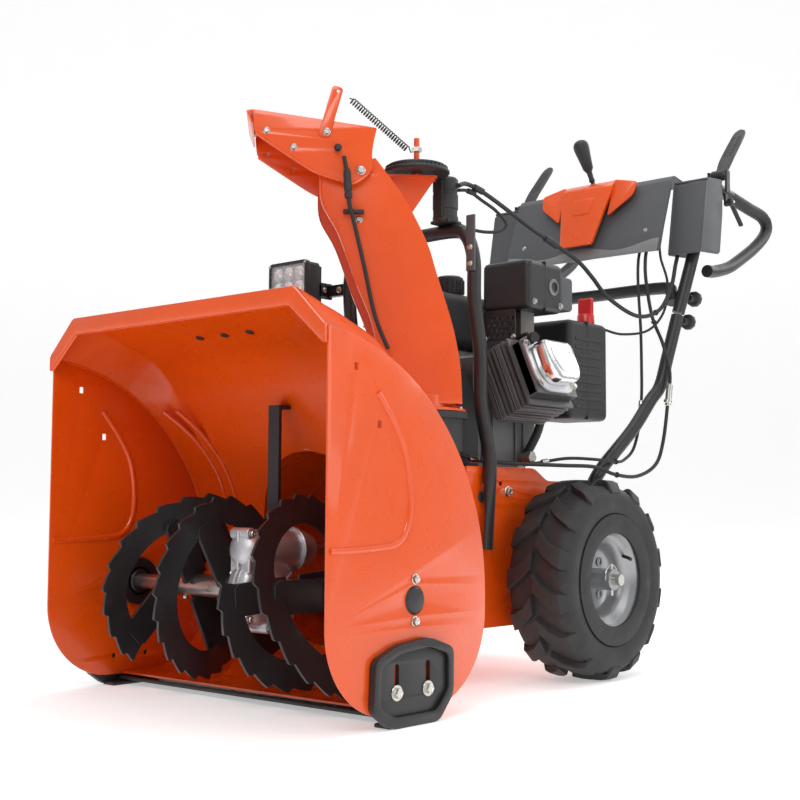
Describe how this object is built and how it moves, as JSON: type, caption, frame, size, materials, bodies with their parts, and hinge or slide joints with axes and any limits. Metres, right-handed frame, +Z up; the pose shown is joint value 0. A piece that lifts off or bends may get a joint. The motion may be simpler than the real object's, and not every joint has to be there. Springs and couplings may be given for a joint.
{
  "type": "two stage snowblower",
  "caption": "Walk-behind two stage snowblower: auger bucket, impeller, turning discharge chute with deflector, engine, wheels and handlebar controls.",
  "frame": {"origin": "on the floor under the middle of the machine's bounding box", "axes": "+X to the operator's left, +Y from the bucket mouth back to the handles, +Z up"},
  "size_m": [0.6478, 1.444, 1.0961],
  "materials": {
    "orange_paint": "gloss orange paint",
    "black_powder": "satin black powder coat",
    "silver_paint": "silver wheel paint",
    "zinc": "zinc plate",
    "cast_aluminium": "cast aluminium, lightly machined",
    "bronze": "gear bronze",
    "muffler_steel": "heat stained steel",
    "black_plastic": "textured black plastic",
    "grey_plastic": "textured grey plastic",
    "orange_plastic": "gloss orange plastic",
    "red_plastic": "gloss red plastic",
    "red_rubber": "soft red rubber",
    "black_rubber": "black rubber",
    "tyre": "snow tyre rubber",
    "lens": "clear lens"
  },
  "bodies": {
    "machine": {"bucket_shell": "orange_paint", "bucket_side_left": "orange_paint", "bucket_side_right": "orange_paint", "impeller_housing": "orange_paint", "scraper_bar": "black_powder", "assembly_bolts": "zinc", "auger_bearings": "black_powder", "auger_gearbox": "cast_aluminium", "gearbox_strap": "black_powder", "chute_collar": "black_plastic", "rotator_head": "black_plastic", "chute_hoop": "black_powder", "belt_cover": "black_plastic", "chassis": "orange_paint", "engine_block": "cast_aluminium", "valve_cover": "cast_aluminium", "recoil_cover": "black_plastic", "fuel_tank": "black_plastic", "muffler": "muffler_steel", "muffler_guard": "black_powder", "carb_cover": "black_plastic", "drive_belts": "black_rubber", "lower_handles": "black_powder", "upper_handles": "black_powder", "dash_panel": "grey_plastic", "dash_cover": "orange_plastic", "control_cables": "black_rubber"},
    "auger": {"auger_shaft": "zinc", "auger_rake_left": "black_powder", "auger_rake_right": "black_powder", "shear_bolts": "zinc", "worm_gear": "bronze"},
    "impeller": {"impeller_shaft": "zinc", "impeller": "black_powder", "auger_pulley": "zinc"},
    "left_wheel": {"axle_left": "zinc", "rim_left": "silver_paint", "tyre_left": "tyre"},
    "right_wheel": {"axle_right": "zinc", "rim_right": "silver_paint", "tyre_right": "tyre"},
    "chute": {"chute": "orange_paint", "rotator_post": "orange_paint", "deflector_spring": "zinc", "deflector_cable": "black_rubber"},
    "deflector": {"deflector": "orange_paint"},
    "headlight": {"headlight_housing": "black_plastic", "headlight_lens": "lens"},
    "left_shoe": {"skid_shoe_left": "black_powder"},
    "right_shoe": {"skid_shoe_right": "black_powder"},
    "crank": {"crankshaft": "zinc"},
    "auger_lever": {"auger_lever": "black_plastic"},
    "drive_lever": {"drive_lever": "black_plastic"},
    "speed_lever": {"speed_lever": "black_plastic"},
    "left_trigger": {"steering_trigger_left": "black_plastic"},
    "right_trigger": {"steering_trigger_right": "black_plastic"},
    "throttle": {"throttle_knob": "red_plastic"},
    "primer": {"primer_bulb": "red_rubber"},
    "fuel_cap": {"fuel_cap": "black_plastic"},
    "recoil": {"recoil_handle": "black_plastic"}
  },
  "joints": [
    {"name": "auger_turn", "type": "hinge", "parent": "machine", "child": "auger", "pos_m": [0, -0.539, 0.168], "axis": [1, 0, 0], "continuous": true},
    {"name": "impeller_turn", "type": "hinge", "parent": "machine", "child": "impeller", "pos_m": [0, -0.2, 0.228], "axis": [0, 1, 0], "continuous": true},
    {"name": "left_wheel_turn", "type": "hinge", "parent": "machine", "child": "left_wheel", "pos_m": [0.229, 0.018, 0.172], "axis": [1, 0, 0], "continuous": true},
    {"name": "right_wheel_turn", "type": "hinge", "parent": "machine", "child": "right_wheel", "pos_m": [-0.229, 0.018, 0.172], "axis": [1, 0, 0], "continuous": true},
    {"name": "chute_turn", "type": "hinge", "parent": "machine", "child": "chute", "pos_m": [0.085, -0.276, 0.5], "axis": [0, 0, 1], "range_deg": [-41, 124]},
    {"name": "deflector_tilt", "type": "hinge", "parent": "chute", "child": "deflector", "pos_m": [0.01692, -0.3465, 0.838], "axis": [0.7193, -0.6947, 0], "range_deg": [0, 45], "deforming": ["deflector_spring"]},
    {"name": "headlight_tilt", "type": "hinge", "parent": "machine", "child": "headlight", "pos_m": [-0.2, -0.214, 0.693], "axis": [1, 0, 0], "range_deg": [-10, 20]},
    {"name": "left_shoe_height", "type": "slide", "parent": "machine", "child": "left_shoe", "axis": [0, 0, -1], "range_m": [0, 0.03]},
    {"name": "right_shoe_height", "type": "slide", "parent": "machine", "child": "right_shoe", "axis": [0, 0, -1], "range_m": [0, 0.03]},
    {"name": "crank_turn", "type": "hinge", "parent": "machine", "child": "crank", "pos_m": [0, 0, 0.468], "axis": [0, 1, 0], "continuous": true},
    {"name": "auger_lever_press", "type": "hinge", "parent": "machine", "child": "auger_lever", "pos_m": [0.245, 0.492, 0.974], "axis": [-1, 0, 0], "range_deg": [0, 42], "stiffness_Nm_per_rad": 3, "springref_deg": -17.19},
    {"name": "drive_lever_press", "type": "hinge", "parent": "machine", "child": "drive_lever", "pos_m": [-0.245, 0.492, 0.974], "axis": [-1, 0, 0], "range_deg": [0, 42], "stiffness_Nm_per_rad": 3, "springref_deg": -17.19},
    {"name": "speed_select", "type": "hinge", "parent": "machine", "child": "speed_lever", "pos_m": [-0.02, 0.432, 0.912], "axis": [1, 0, 0], "range_deg": [-12, 12]},
    {"name": "left_trigger_pull", "type": "hinge", "parent": "machine", "child": "left_trigger", "pos_m": [0.266, 0.502, 0.918], "axis": [1, 0, 0], "range_deg": [0, 30], "stiffness_Nm_per_rad": 0.6, "springref_deg": -11.46},
    {"name": "right_trigger_pull", "type": "hinge", "parent": "machine", "child": "right_trigger", "pos_m": [-0.266, 0.502, 0.918], "axis": [1, 0, 0], "range_deg": [0, 30], "stiffness_Nm_per_rad": 0.6, "springref_deg": -11.46},
    {"name": "throttle_turn", "type": "hinge", "parent": "machine", "child": "throttle", "pos_m": [0.11, 0.201, 0.65], "axis": [0, 0, 1], "range_deg": [0, 90]},
    {"name": "primer_press", "type": "slide", "parent": "machine", "child": "primer", "axis": [0, -1, 0], "range_m": [0, 0.004], "stiffness_N_per_m": 600, "springref_m": -0.001},
    {"name": "fuel_cap_lift", "type": "slide", "parent": "machine", "child": "fuel_cap", "axis": [0, 0, 1], "range_m": [0, 0.06]},
    {"name": "recoil_pull", "type": "slide", "parent": "machine", "child": "recoil", "axis": [-1, 0, 0], "range_m": [0, 0.5], "stiffness_N_per_m": 40, "springref_m": -0.05}
  ],
  "couplings": [
    {"joint": "impeller_turn", "follows": "auger_turn", "ratio": 10}
  ]
}
